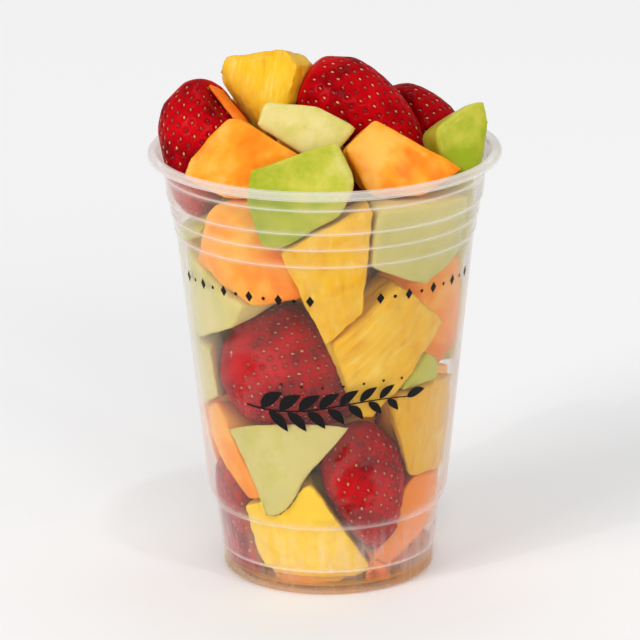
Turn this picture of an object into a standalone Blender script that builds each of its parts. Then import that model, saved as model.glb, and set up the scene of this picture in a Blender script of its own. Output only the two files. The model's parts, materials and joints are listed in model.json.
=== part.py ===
"""A clear 16 oz plastic cup heaped with cut fruit: melon, pineapple and strawberries.

The cup is one turned solid.  Each piece of fruit is one convex solid: a knife-cut block, or a
berry turned about its own axis.  The pieces are laid in one by one.  Each new one is cut flat
where it would run into the cup or into a piece that already lies there.

The origin is the middle of the cup's foot, on the table.  The cup's axis is +Z and its front
is -Y.  Azimuths run round the cup from the front, positive to the right.  Lengths are in mm.
"""

import math

import bmesh
import bpy
from mathutils import Matrix, Vector

MM = 0.001

# The cup: its foot, its two beads, the wall with four ribs near the top, and the rolled lip
HEIGHT = 121.5
WALL = 0.45
SIDES = 40
FOOT_RADIUS = 29.5
FOOT_HEIGHT = 6.6
FOOT_EDGE = 1.2
FLOOR_TOP = 2.2
RECESS_DEPTH = 1.5
RECESS_RADIUS = 27.2
FOOT_BEAD = (30.0, 7.2)
BASE_BAND = (30.1, 8.0)
SHOULDER = ((31.5, 19.0), (31.9, 20.2), (33.0, 22.2), (33.6, 24.2))
RIB_HEIGHTS = (97.6, 102.6, 107.4, 114.2)
RIB_STEPS = (0.7, 0.6, 0.8, 0.6)
RIB_RISE = 1.2
WALL_SLOPE = 0.103
BAND_SLOPE = 0.075
COLLAR_TOP = 117.9
LIP_RADIUS = 49.0
LIP_HALF_WIDTH = 1.65
LIP_HALF_HEIGHT = 1.35
LIP_STEPS = 11
LIP_TURN = 300

# The fruit
GAP = 0.35
PRESS = 1.0
STOCK = 70
SHORTEST_EDGE = 0.12
BERRY_SIDES = 14
BERRY_RINGS = 7
BERRY_WAIST = 0.34
BERRY_FLATNESS = 0.92
CONE_STEP = 9
TOP_LEAN = 18

# Each kind's colour and its roughness
KINDS = {
    "pineapple": ((0.93, 0.62, 0.13, 1), 0.35),
    "cantaloupe": ((0.96, 0.42, 0.10, 1), 0.35),
    "honeydew": ((0.66, 0.74, 0.25, 1), 0.35),
    "strawberry": ((0.55, 0.01, 0.015, 1), 0.25),
}

# Blocks that show through the front of the wall: azimuth and height of the middle, the knife
# cuts as (direction, distance), depth.  Direction 0 is right and 90 is up, seen from outside.
WALL_BLOCKS = {
    "pineapple_front": (3, 98.5, ((-155, 12.5), (-50, 17.5), (-5, 10), (85, 17), (125, 13.5)), 20),
    "pineapple_low": (
        -16,
        18,
        ((-165, 16), (-130, 16.5), (-85, 15.5), (-25, 23), (36, 17), (52, 18), (114, 12.6), (155, 18)),
        18,
    ),
    "pineapple_middle": (
        24,
        75,
        ((-160, 13.5), (-100, 23), (-48, 15.5), (49, 16), (62, 17), (154, 13.5)),
        17,
    ),
    "cantaloupe_strip": (-56, 39, ((-130, 6.5), (-52, 17), (29, 4.6), (118, 14.5), (160, 14)), 20),
    "honeydew_low": (-24, 42, ((-150, 15.5), (-117, 17.5), (-41, 10.3), (85, 12.5), (160, 20)), 14),
    "cantaloupe_left": (
        -34,
        98,
        ((-112, 12.5), (-84, 14.5), (-27, 17.5), (35, 12), (92, 15), (155, 16.5)),
        18,
    ),
    "honeydew_right": (45, 101, ((-113, 11.5), (-68, 12), (0, 17.5), (86, 12), (177, 20)), 20),
    "cantaloupe_right": (64, 77, ((-125, 12), (-28, 17), (9, 13), (96, 14), (167, 13.5)), 20),
    "pineapple_right": (55, 45, ((-166, 11.5), (-98, 13.5), (0, 16), (90, 14)), 11),
    "cantaloupe_base": (24, 8, ((-90, 5.6), (12, 8), (90, 12), (180, 14)), 16),
    "cantaloupe_low": (52, 20, ((150, 14), (-175, 17), (-95, 17.4), (-63, 11), (8, 17), (88, 12.5)), 12),
    "honeydew_left": (-59, 81, ((-172, 14.5), (-92, 12.5), (-55, 12), (-34, 11), (64, 12.5), (168, 14)), 20),
    "honeydew_side": (-60, 59, ((180, 14), (-65, 5), (24, 8), (90, 10)), 18),
    "honeydew_small": (44, 62, ((-120, 6), (-90, 5), (0, 9), (60, 8), (132, 6)), 14),
    "honeydew_edge": (-72, 100, ((180, 13), (-97, 11.5), (0, 12), (81, 9)), 20),
}

# Blocks of the heap: the front's middle, the cuts, depth, lean of the top to the back
HEAP_BLOCKS = {
    "honeydew_front": (
        (-7, -38.5, 117.4),
        ((-165, 14.5), (-91, 14.5), (-61, 10), (-27, 12.5), (0, 15), (25, 16), (109, 11.5), (170, 14.5)),
        12,
        11,
    ),
    "cantaloupe_crest": (
        (-23.5, -23, 123.5),
        ((-111, 11), (-72, 12), (-21, 16.5), (62, 10.5), (95, 12.5), (140, 11)),
        13,
        18,
    ),
    "cantaloupe_diamond": (
        (21.7, -24, 123),
        ((-158, 13.5), (-139, 13.5), (-81, 11.5), (-60, 11), (57, 7), (130, 14.5)),
        15,
        18,
    ),
    "honeydew_top": (
        (-5, -20, 129.8),
        ((-174, 13.5), (-112, 9), (-66, 8.5), (-36, 10), (60, 9), (85, 8.5), (131, 14.5), (169, 14)),
        10,
        18,
    ),
    "pineapple_top": (
        (-19, 2, 136),
        ((-142, 10), (-39, 11), (-11, 11), (46, 15.5), (103, 11.5), (150, 14.5), (172, 13.2)),
        13,
        12,
    ),
    "honeydew_peak": (
        (38.2, -12, 125.5),
        ((-167, 8), (-147, 8.5), (-100, 11), (-40, 9), (4, 9), (87, 11), (115, 8), (159, 9)),
        15,
        18,
    ),
    "cantaloupe_slice": ((-26.5, -6, 133.4), ((-132, 1.3), (-42, 9), (48, 1.4), (138, 10)), 9, 18),
}

# Strawberries: the middle of the widest part, the way the tip points, length, width, and the
# share of the length that is cut off with the stalk
BERRIES = {
    "strawberry_big": ((-13, -14.5, 62.5), (22, 8, -10), 45, 38, 0.05),
    "strawberry_low": ((9.4, -19.5, 34), (6, -2, -30), 37, 25, 0.05),
    "strawberry_left": ((-33, -1, 127), (-4, -14, -32), 39, 26, 0.05),
    "strawberry_top": ((5.5, 3, 133.5), (34, -4, -21), 40, 25.5, 0.08),
    "strawberry_behind": ((23, 15, 124), (12, 2, -6), 33, 23, 0.05),
    "strawberry_corner": ((-19, -8, 12), (-6, -1, 28), 46, 30, 0.1),
    "strawberry_inner": ((1, -12, 108), (-7, -6, -22), 34, 25, 0.05),
}
FIRST_LAID = (
    "honeydew_front",
    "cantaloupe_slice",
    "strawberry_big",
    "strawberry_low",
    "strawberry_left",
    "strawberry_top",
)

# Pieces that fill the middle and the back, as (kind, place)
CORE = (
    ("honeydew", (4, -2, 16)),
    ("cantaloupe", (8, -6, 51)),
    ("pineapple", (-2, 4, 84)),
    ("cantaloupe", (-8, 4, 112)),
)
# Rows at the back from the floor up: height, azimuth of the first piece, kinds going round
BACK_ROWS = (
    (15, 106, ("cantaloupe", "honeydew", "strawberry", "pineapple")),
    (43, 88, ("cantaloupe", "strawberry", "pineapple", "honeydew", "cantaloupe")),
    (71, 108, ("honeydew", "pineapple", "cantaloupe", "strawberry", "honeydew")),
    (99, 88, ("honeydew", "cantaloupe", "pineapple", "strawberry", "pineapple")),
)
BACK_STEP = 42
BACK_SIZE = 28
BACK_DEPTH = 20
HEAP_BACK = (
    ("pineapple", (-26, 24, 118)),
    ("cantaloupe", (-3, 24, 124)),
    ("honeydew", (25, 27, 113)),
)


# ---------------------------------------------------------------- the cup


def outer_line():
    """The cup's outside from the foot up to the collar under the lip, as (radius, height)."""
    line = [(FOOT_RADIUS, FOOT_HEIGHT), FOOT_BEAD, BASE_BAND, *SHOULDER]
    radius, height = line[-1]
    slope = WALL_SLOPE
    for rib, step in zip(RIB_HEIGHTS, RIB_STEPS):
        radius += slope * (rib - height)
        line.append((radius, rib))
        radius, height, slope = radius + step, rib + RIB_RISE, BAND_SLOPE
        line.append((radius, height))
    line.append((radius + slope * (COLLAR_TOP - height), COLLAR_TOP))
    return line


def lip_arc(inset):
    """The rolled lip: an oval from its inner side over the top and round under its outside."""
    arc = []
    for i in range(LIP_STEPS + 1):
        angle = math.radians(180 - LIP_TURN * i / LIP_STEPS)
        across = (LIP_HALF_WIDTH - inset) * math.cos(angle)
        up = (LIP_HALF_HEIGHT - inset) * math.sin(angle)
        arc.append((LIP_RADIUS - LIP_HALF_WIDTH + across, HEIGHT - LIP_HALF_HEIGHT + up))
    return arc


def cup_profile():
    """Half the cup's section: the floor, up the inside, over the lip, down the outside, the foot."""
    outside = outer_line()
    inside = [(radius - WALL, height) for radius, height in outside]
    corner = FOOT_RADIUS - WALL
    floor = [(0, FLOOR_TOP), (corner - FOOT_EDGE, FLOOR_TOP), (corner, FLOOR_TOP + FOOT_EDGE)]
    foot = [
        (FOOT_RADIUS, FOOT_EDGE),
        (FOOT_RADIUS - FOOT_EDGE, 0),
        (RECESS_RADIUS, 0),
        (RECESS_RADIUS - RECESS_DEPTH, RECESS_DEPTH),
        (0, RECESS_DEPTH),
    ]
    return floor + inside + lip_arc(0) + lip_arc(WALL)[::-1] + outside[::-1] + foot


def turned(profile, sides):
    """A closed mesh from a profile whose two ends lie on the Z axis."""
    bm = bmesh.new()
    points = [bm.verts.new((radius, 0, height)) for radius, height in profile]
    edges = [bm.edges.new(pair) for pair in zip(points, points[1:])]
    bmesh.ops.spin(
        bm,
        geom=points + edges,
        cent=(0, 0, 0),
        axis=(0, 0, 1),
        angle=2 * math.pi,
        steps=sides,
        use_merge=True,
    )
    bmesh.ops.remove_doubles(bm, verts=bm.verts, dist=1e-4)
    bmesh.ops.recalc_face_normals(bm, faces=bm.faces)
    return bm


# ---------------------------------------------------------------- shapes of fruit


def knife(bm, point, normal):
    """Cuts off what lies on the normal's side of the plane and closes the cut."""
    cut = bmesh.ops.bisect_plane(
        bm,
        geom=bm.verts[:] + bm.edges[:] + bm.faces[:],
        dist=1e-3,
        plane_co=point,
        plane_no=normal,
        clear_outer=True,
    )
    rim = [part for part in cut["geom_cut"] if isinstance(part, bmesh.types.BMEdge)]
    if len(rim) > 2:
        bmesh.ops.contextual_create(bm, geom=rim)


def block(cuts, depth, narrowing=6):
    """A knife-cut block.  Its front faces -Y and it narrows a little towards its back."""
    bm = bmesh.new()
    bmesh.ops.create_cube(bm, size=STOCK)
    knife(bm, (0, 0, 0), (0, -1, 0))
    knife(bm, (0, depth, 0), (0, 1, 0))
    tilt = math.radians(narrowing)
    for direction, distance in cuts:
        angle = math.radians(direction)
        way = Vector((math.cos(angle), 0, math.sin(angle)))
        knife(bm, way * distance, way * math.cos(tilt) + Vector((0, math.sin(tilt), 0)))
    return bm


def rough_block(size, depth, number):
    """A block about size across, turned and set askew by amounts that change with its number."""
    turn = 24 * math.sin(3.3 * number)
    cuts = [(45 + turn + 90 * (number % 4), 0.58 * size)]
    for side in range(4):
        skew = 12 * math.sin(2.1 * number + 1.7 * side)
        distance = size / 2 * (1.03 + 0.1 * math.sin(number + 2 * side))
        cuts.append((90 * side + turn + skew, distance))
    return block(cuts, depth)


def berry_radius(along):
    """A strawberry's radius, from 0 to 1, at a place along it from stalk (0) to tip (1)."""
    if along < BERRY_WAIST:
        return math.sqrt(1 - (1 - along / BERRY_WAIST) ** 2.4)
    past = (along - BERRY_WAIST) / (1 - BERRY_WAIST)
    return (1 - past**1.75) ** 0.72


def berry(length, width, hulled):
    """A strawberry along +Z, tip up, centred on its widest part, its stalk end cut flat."""
    profile = [(0, (1 - BERRY_WAIST) * length)]
    for i in range(BERRY_RINGS):
        along = hulled + (1 - hulled) * (1 - (i + 1) / BERRY_RINGS) ** 0.9
        profile.append((width / 2 * berry_radius(along), (along - BERRY_WAIST) * length))
    profile.append((0, profile[-1][1]))
    bm = turned(profile, BERRY_SIDES)
    bmesh.ops.scale(bm, vec=(1, BERRY_FLATNESS, 1), verts=bm.verts)
    return bm


# ---------------------------------------------------------------- laying the fruit in


def around(azimuth, radius, height):
    """The point at this azimuth, distance from the axis and height."""
    angle = math.radians(azimuth)
    return Vector((radius * math.sin(angle), -radius * math.cos(angle), height))


def inner_radius(height):
    """The cup's inner radius at a height, from its section."""
    line = [(FOOT_RADIUS, 0), *outer_line(), (LIP_RADIUS - LIP_HALF_WIDTH, HEIGHT)]
    for (r0, z0), (r1, z1) in zip(line, line[1:]):
        if z0 <= height <= z1:
            return r0 + (r1 - r0) * (height - z0) / (z1 - z0) - WALL
    return line[-1][0] - WALL


def cones_for(low, middle):
    """The cones, as (radius at height 0, slope), inside which a piece keeps clear of the wall."""
    rib, last_rib = RIB_HEIGHTS[0], RIB_HEIGHTS[-1]
    slope = WALL_SLOPE
    if middle > rib - 4:
        slope = (inner_radius(last_rib) - inner_radius(rib)) / (last_rib - rib)
    cones = [(inner_radius(rib) - slope * rib, slope)]
    if low < SHOULDER[-1][1]:
        edge_radius, edge_height = SHOULDER[0]
        slope = (edge_radius - FOOT_RADIUS) / (edge_height - FOOT_HEIGHT)
        cones.append((edge_radius - WALL - slope * edge_height, slope))
    if low < FOOT_HEIGHT:
        cones.append((FOOT_RADIUS - WALL - FLOOR_TOP - FOOT_EDGE, 1))
    return cones


def keep_in_cup(bm):
    """Cuts a piece back from the cup's wall and floor."""
    heights = [v.co.z for v in bm.verts]
    low, middle = min(heights), (min(heights) + max(heights)) / 2
    knife(bm, (0, 0, FLOOR_TOP + GAP), (0, 0, -1))
    for base_radius, slope in cones_for(low, middle):
        reach = base_radius * math.cos(math.pi / SIDES) - GAP
        tilt = math.atan(slope)
        for azimuth in range(0, 360, CONE_STEP):
            out = around(azimuth, math.cos(tilt), -math.sin(tilt))
            at = around(azimuth, reach, 0)
            if any((v.co - at).dot(out) > 0 for v in bm.verts):
                knife(bm, at, out)


def centre_of(bm):
    return sum((v.co for v in bm.verts), Vector()) / len(bm.verts)


def reach_of(bm):
    centre = centre_of(bm)
    return max((v.co - centre).length for v in bm.verts)


def planes_between(fixed, new):
    """Planes that leave the fixed piece clear, as (distance from the origin, normal)."""
    way = (centre_of(new) - centre_of(fixed)).normalized()
    normals = [f.normal.copy() for f in fixed.faces] + [-f.normal for f in new.faces]
    normals = sorted((n for n in normals if n.dot(way) > 0.2), key=lambda n: -n.dot(way))
    for normal in [way, *normals[:24]]:
        yield max(v.co.dot(normal) for v in fixed.verts) + GAP, normal


def keep_clear_of(fixed, bm):
    """Cuts bm flat where it would run into the fixed piece, by the plane that leaves most of it."""
    if (centre_of(fixed) - centre_of(bm)).length > reach_of(fixed) + reach_of(bm) + GAP:
        return
    best = (-1, 0, None)
    for distance, normal in planes_between(fixed, bm):
        if min(v.co.dot(normal) for v in bm.verts) >= distance:
            return
        trial = bm.copy()
        knife(trial, normal * distance, -normal)
        best = max(best, (trial.calc_volume(), distance, normal), key=lambda found: found[0])
        trial.free()
    knife(bm, best[2] * best[1], -best[2])


def placed(bm, at, facing, lean):
    """Turns a shape that faces -Y towards that azimuth, leans its top back, then moves it."""
    turn = Matrix.Rotation(math.radians(facing), 4, "Z") @ Matrix.Rotation(math.radians(-lean), 4, "X")
    bmesh.ops.transform(bm, matrix=Matrix.Translation(at) @ turn, verts=bm.verts)
    return bm


def at_wall(bm, azimuth, height):
    """Lays a shape flat against the cup's wall."""
    lean = -math.degrees(math.atan(WALL_SLOPE))
    return placed(bm, around(azimuth, inner_radius(height) - PRESS, height), azimuth, lean)


def strawberry(at, tip, length, width, hulled=0.05):
    """A strawberry whose widest part is at a point and whose tip points along tip."""
    bm = berry(length, width, hulled)
    turn = Vector(tip).to_track_quat("Z", "Y").to_matrix().to_4x4()
    bmesh.ops.transform(bm, matrix=Matrix.Translation(at) @ turn, verts=bm.verts)
    return bm


def back_pieces():
    """Rows of pieces that lie against the back of the wall."""
    number = 0
    for height, azimuth, kinds in BACK_ROWS:
        for kind in kinds:
            number += 1
            if kind == "strawberry":
                at = around(azimuth, inner_radius(height) - 13, height)
                tip = around(azimuth + 50 * number, 9, -20 if number % 2 else 20)
                bm = strawberry(at, tip, 36, 27)
            else:
                bm = at_wall(rough_block(BACK_SIZE, BACK_DEPTH, number), azimuth, height)
            yield f"{kind}_back_{number}", bm
            azimuth += BACK_STEP


def heap_block(name):
    at, cuts, depth, lean = HEAP_BLOCKS[name]
    facing = math.degrees(math.atan2(at[0], -at[1])) / 3
    return placed(block(cuts, depth), Vector(at), facing, lean)


def rough_pieces(group, places, size, depth):
    """Rough blocks whose middles are at these places."""
    for number, (kind, at) in enumerate(places):
        middle = Vector(at) - Vector((0, depth / 2, 0))
        bm = placed(rough_block(size, depth, number + len(group)), middle, 0, 12)
        yield f"{kind}_{group}_{number + 1}", bm


def pieces():
    """All the fruit in the order in which it is laid, as (name, shape)."""
    for name in FIRST_LAID:
        yield name, strawberry(*BERRIES[name]) if name in BERRIES else heap_block(name)
    for name, (azimuth, height, cuts, depth) in WALL_BLOCKS.items():
        yield name, at_wall(block(cuts, depth), azimuth, height)
    for name in HEAP_BLOCKS:
        if name not in FIRST_LAID:
            yield name, heap_block(name)
    for name, berry_sizes in BERRIES.items():
        if name not in FIRST_LAID:
            yield name, strawberry(*berry_sizes)
    yield from rough_pieces("heap", HEAP_BACK, 27, 22)
    yield from back_pieces()
    yield from rough_pieces("core", CORE, 30, 26)


# ---------------------------------------------------------------- the model


def tidy(bm):
    """The convex solid round a piece's corners, without edges too short to matter."""
    bmesh.ops.remove_doubles(bm, verts=bm.verts, dist=SHORTEST_EDGE)
    clean = bmesh.new()
    for v in bm.verts:
        clean.verts.new(v.co)
    bm.free()
    bmesh.ops.convex_hull(clean, input=clean.verts)
    loose = [v for v in clean.verts if not v.link_faces]
    bmesh.ops.delete(clean, geom=loose, context="VERTS")
    bmesh.ops.dissolve_limit(
        clean, angle_limit=math.radians(0.4), verts=clean.verts, edges=clean.edges
    )
    bmesh.ops.recalc_face_normals(clean, faces=clean.faces)
    return clean


def shade(bm, sharp=35):
    for face in bm.faces:
        face.smooth = True
    for edge in bm.edges:
        edge.smooth = edge.calc_face_angle(0) < math.radians(sharp)


def add(name, bm, material, at=(0, 0, 0)):
    """Makes the object, with its origin at a point given in mm."""
    bmesh.ops.translate(bm, vec=-Vector(at), verts=bm.verts)
    bmesh.ops.scale(bm, vec=(MM, MM, MM), verts=bm.verts)
    shade(bm)
    mesh = bpy.data.meshes.new(name)
    bm.to_mesh(mesh)
    bm.free()
    mesh.materials.append(material)
    obj = bpy.data.objects.new(name, mesh)
    obj.location = Vector(at) * MM
    bpy.context.collection.objects.link(obj)


def plain(name, colour, roughness):
    material = bpy.data.materials.new(name)
    material.use_nodes = True
    surface = material.node_tree.nodes["Principled BSDF"]
    surface.inputs["Base Color"].default_value = colour
    surface.inputs["Roughness"].default_value = roughness
    return material


def main():
    for obj in list(bpy.data.objects):
        bpy.data.objects.remove(obj, do_unlink=True)
    laid = {}
    for name, bm in pieces():
        keep_in_cup(bm)
        for fixed in laid.values():
            keep_clear_of(fixed, bm)
        laid[name] = bm
    clear = plain("cup", (0.9, 0.92, 0.92, 1), 0.1)
    clear.node_tree.nodes["Principled BSDF"].inputs["Alpha"].default_value = 0.15
    add("cup", turned(cup_profile(), SIDES), clear)
    for name, bm in laid.items():
        colour, roughness = KINDS[name.split("_")[0]]
        bm = tidy(bm)
        add(name, bm, plain(name, colour, roughness), centre_of(bm))


main()
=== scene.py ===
# A clear cold cup heaped with cut melon, pineapple and strawberries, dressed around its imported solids.
# The fruit's places and cuts come from the frame. Sizes are in metres, so mm stands for a millimetre.

import json
import math
import random

import bpy
import numpy as np
from mathutils import Euler, Matrix, Vector
from mathutils.bvhtree import BVHTree
from mathutils.kdtree import KDTree

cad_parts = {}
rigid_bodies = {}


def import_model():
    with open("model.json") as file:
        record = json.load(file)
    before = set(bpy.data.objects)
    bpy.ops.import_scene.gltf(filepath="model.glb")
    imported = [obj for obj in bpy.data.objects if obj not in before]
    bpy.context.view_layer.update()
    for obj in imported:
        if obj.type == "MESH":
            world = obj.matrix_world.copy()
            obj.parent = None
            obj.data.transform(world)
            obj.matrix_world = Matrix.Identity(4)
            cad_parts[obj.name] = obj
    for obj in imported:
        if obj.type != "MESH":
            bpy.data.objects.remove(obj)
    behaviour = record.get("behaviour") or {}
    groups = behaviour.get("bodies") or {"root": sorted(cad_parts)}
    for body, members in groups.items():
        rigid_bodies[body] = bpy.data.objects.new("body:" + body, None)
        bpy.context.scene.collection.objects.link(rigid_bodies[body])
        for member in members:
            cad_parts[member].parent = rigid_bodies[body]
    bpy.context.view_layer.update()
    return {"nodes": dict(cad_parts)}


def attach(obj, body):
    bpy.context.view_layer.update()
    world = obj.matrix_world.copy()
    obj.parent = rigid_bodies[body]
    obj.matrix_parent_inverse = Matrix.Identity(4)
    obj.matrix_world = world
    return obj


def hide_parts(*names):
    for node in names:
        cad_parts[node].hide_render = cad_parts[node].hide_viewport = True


mm = 0.001

for old in list(bpy.data.objects):
    bpy.data.objects.remove(old)
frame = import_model()


# camera and light

viewPoint = {
    "distance": 1275.08 * mm,  # from the middle of the cup, 60 mm up
    "elevation": 17.923,
    "aimUp": 0.474,
    "aimLeft": 0.084,
    "roll": -0.559,
    "lens": 256.4,
}

softboxes = {
    # name: (place, aimed at, width, height, watts, colour)
    "keyBox": ((-9.2, -8.2, 6.6), (0, 0, 0.08), 6.4, 6.4, 735.0, "#FFFEFC"),
    "frontBox": ((2.6, -11.0, 4.6), (0, 0, 0.06), 7.0, 5.0, 490.0, "#FFFFFF"),
    "topBox": ((0.6, 3.5, 11.0), (0, 0.5, 0.06), 8.0, 5.0, 215.0, "#FFFFFF"),
    "leftGlint": ((-2.7, -2.5, 3.3), (0, 0, 0.1), 0.14, 0.14, 15.0, "#FFFFFF"),
    "topGlint": ((0.5, -1.3, 4.2), (0, 0, 0.1), 0.14, 0.14, 13.0, "#FFFFFF"),
    "rightGlint": ((2.9, -3.0, 2.2), (0, 0, 0.1), 0.12, 0.12, 9.0, "#FFFFFF"),
}

surround = {"colour": "#FFFFFF", "strength": 0.455}


def linear(hexColour):
    # sRGB hex to a linear colour
    parts = [int(hexColour[at:at + 2], 16) / 255 for at in (1, 3, 5)]
    return [part / 12.92 if part <= 0.04045 else ((part + 0.055) / 1.055) ** 2.4 for part in parts] + [1]


def addNode(tree, kind, settings=None, links=None):
    # one node with its options, its inputs and what feeds it
    made = tree.nodes.new(kind)
    for name, value in (settings or {}).items():
        if name == "stops":
            ramp = made.color_ramp.elements
            while len(ramp) < len(value):
                ramp.new(0.5)
            for stop, (place, colour) in zip(ramp, value):
                stop.position = place
                stop.color = linear(colour) if isinstance(colour, str) else (colour, colour, colour, 1)
        elif isinstance(name, int) or name in made.inputs:
            hexGiven = isinstance(value, str) and value.startswith("#")
            made.inputs[name].default_value = linear(value) if hexGiven else value
        else:
            setattr(made, name, value)
    for name, socket in (links or {}).items():
        tree.links.new(socket, made.inputs[name])
    return made


def placeCamera():
    up = math.radians(viewPoint["elevation"])
    back = viewPoint["distance"]
    made = bpy.data.objects.new("camera", bpy.data.cameras.new("camera"))
    bpy.context.scene.collection.objects.link(made)
    made.data.lens = viewPoint["lens"]
    made.data.clip_start, made.data.clip_end = 0.05, 20
    facing = Euler((math.pi / 2 - up, 0, 0)).to_matrix().to_4x4()
    roll = Matrix.Rotation(math.radians(viewPoint["roll"]), 4, "Z")
    tiltUp = Matrix.Rotation(math.radians(viewPoint["aimUp"]), 4, "X")
    turnLeft = Matrix.Rotation(math.radians(viewPoint["aimLeft"]), 4, "Y")
    spot = Matrix.Translation((0, -back * math.cos(up), 60 * mm + back * math.sin(up)))
    made.matrix_world = spot @ facing @ roll @ tiltUp @ turnLeft
    bpy.context.scene.camera = made


def placeLights():
    for name, (spot, target, width, height, watts, colour) in softboxes.items():
        lamp = bpy.data.lights.new(name, "AREA")
        lamp.shape, lamp.size, lamp.size_y = "RECTANGLE", width, height
        lamp.energy, lamp.color = watts, linear(colour)[:3]
        made = bpy.data.objects.new(name, lamp)
        bpy.context.scene.collection.objects.link(made)
        made.location = spot
        made.rotation_euler = (Vector(target) - Vector(spot)).to_track_quat("-Z", "Y").to_euler()
    world = bpy.data.worlds.new("studio")
    world.use_nodes = True
    world.node_tree.nodes["Background"].inputs["Color"].default_value = linear(surround["colour"])
    world.node_tree.nodes["Background"].inputs["Strength"].default_value = surround["strength"]
    bpy.context.scene.world = world


placeCamera()
placeLights()
bpy.context.scene.view_settings.view_transform = "Standard"
bpy.context.scene.cycles.transparent_max_bounces = 32
bpy.context.scene.cycles.max_bounces = 14
bpy.context.scene.cycles.diffuse_bounces = 8
print("camera and lights placed")


# working on one piece at a time


def pickOnly(*pieces):
    bpy.ops.object.select_all(action="DESELECT")
    for piece in pieces:
        piece.select_set(True)
    bpy.context.view_layer.objects.active = pieces[0]


def finishWith(piece, kind, **settings):
    # adds a modifier and applies it
    pickOnly(piece)
    added = piece.modifiers.new(kind.lower(), kind)
    for name, value in settings.items():
        setattr(added, name, value)
    bpy.ops.object.modifier_apply(modifier=added.name)


def pointsOf(piece):
    flat = np.empty(len(piece.data.vertices) * 3)
    piece.data.vertices.foreach_get("co", flat)
    return flat.reshape(-1, 3)


def setPoints(piece, points):
    piece.data.vertices.foreach_set("co", np.ascontiguousarray(points, float).ravel())
    piece.data.update()


def addAttribute(piece, name, values, kind="FLOAT"):
    made = piece.data.attributes.new(name, kind, "POINT")
    made.data.foreach_set("value" if kind == "FLOAT" else "vector", np.asarray(values, np.float32).ravel())


def copyOfNode(nodeName):
    # the solid's mesh as a new piece, its loose triangles merged into whole faces
    made = bpy.data.objects.new(nodeName + "_fruit", frame["nodes"][nodeName].data.copy())
    bpy.context.scene.collection.objects.link(made)
    made.data.materials.clear()
    pickOnly(made)
    bpy.ops.object.mode_set(mode="EDIT")
    bpy.ops.mesh.select_all(action="SELECT")
    bpy.ops.mesh.remove_doubles(threshold=0.005 * mm)
    bpy.ops.mesh.dissolve_limited(angle_limit=math.radians(0.5))
    bpy.ops.object.mode_set(mode="OBJECT")
    return made


def smoothShade(piece):
    pickOnly(piece)
    bpy.ops.object.shade_smooth()


def handOver(piece, material, slot, *nodes):
    # gives a finished piece its material, and its place in the frame
    piece.data.materials.append(material)
    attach(piece, "root")
    if nodes:
        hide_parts(*nodes)


# the cup's measures, which the fruit inside keeps to

cupShape = {
    # the outside as (radius, height) in mm from the foot's bead to the collar
    "outside": (
        (29.5, 6.6), (30.0, 7.2), (30.1, 8.0), (31.5, 19.0), (31.9, 20.2), (33.0, 22.2), (33.6, 24.2),
    ),
    "ribs": ((97.6, 0.7), (102.6, 0.6), (107.4, 0.8), (114.2, 0.6)),  # height and step out
    "ribRise": 1.2,
    "wallSlope": 0.103,
    "bandSlope": 0.075,
    "collarTop": 117.9,
    "wall": 0.45,
    "lipRadius": 48.9,
    "lipHalfWidth": 1.6,
    "lipHalfHeight": 1.35,
    "height": 121.5,
    "around": 192,
    "rounding": 0.45,
}


def outerLine():
    line = list(cupShape["outside"])
    radius, height = line[-1]
    slope = cupShape["wallSlope"]
    for rib, step in cupShape["ribs"]:
        radius += slope * (rib - height)
        line.append((radius, rib))
        radius, height, slope = radius + step, rib + cupShape["ribRise"], cupShape["bandSlope"]
        line.append((radius, height))
    line.append((radius + slope * (cupShape["collarTop"] - height), cupShape["collarTop"]))
    return line


def outerRadius(height):
    line = outerLine()
    return np.interp(height, [z for _, z in line], [r for r, _ in line])


def innerRadius(height):
    # the inside follows the outside, and rounds into the floor
    corner = np.sqrt(np.clip(1 - np.clip(3.4 - np.asarray(height), 0, 1.2) / 1.2, 0, 1))
    return outerRadius(height) - cupShape["wall"] - 1.2 * (1 - corner)


# cut fruit: each block is its solid, softened where the knife's edges would be, then textured

cutFruit = {
    # voxel, times smoothed, then each kind of dent as its depth and its size
    "pineapple": {
        "voxel": 0.68 * mm,
        "smooth": 3,
        "nicks": (2.1 * mm, 4.2 * mm),
        "broad": (0.9 * mm, 7 * mm),
        "fine": (0.42 * mm, 1.5 * mm),
    },
    "cantaloupe": {
        "voxel": 0.8 * mm,
        "smooth": 14,
        "nicks": (1.3 * mm, 6 * mm),
        "broad": (0.9 * mm, 11 * mm),
        "fine": (0.16 * mm, 2.2 * mm),
    },
    "honeydew": {
        "voxel": 0.8 * mm,
        "smooth": 16,
        "nicks": (0.9 * mm, 6 * mm),
        "broad": (0.8 * mm, 12 * mm),
        "fine": (0.12 * mm, 2.4 * mm),
    },
}

# The way the fibres run in a pineapple block, the way to the rind in a honeydew block, and in a listed cantaloupe block
# the way to its lit side, along which light and shade are painted
grainAndLightWays = {
    "pineapple_front": (-0.12, 0.1, 1),
    "pineapple_low": (0.25, -1, 0.35),
    "pineapple_middle": (0.75, 0.1, 0.62),
    "pineapple_right": (0.1, 0.1, 1),
    "pineapple_top": (0.2, 0.25, 1),
    "honeydew_front": (-1, 0, -0.3),
    "honeydew_top": (0.5, 0.6, -0.5),
    "honeydew_peak": (0.25, -0.2, -1),
    "honeydew_low": (-1, 0, 0.3),
    "honeydew_right": (0.5, 0.4, -0.8),
    "honeydew_left": (-0.6, 0, 0.7),
    "honeydew_side": (-0.6, 0, 0.7),
    "cantaloupe_crest": (-0.8, -0.2, -0.35),
    "cantaloupe_diamond": (-0.75, 0.1, 0.6),
    "cantaloupe_left": (-0.9, -0.3, 0.25),
}
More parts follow.
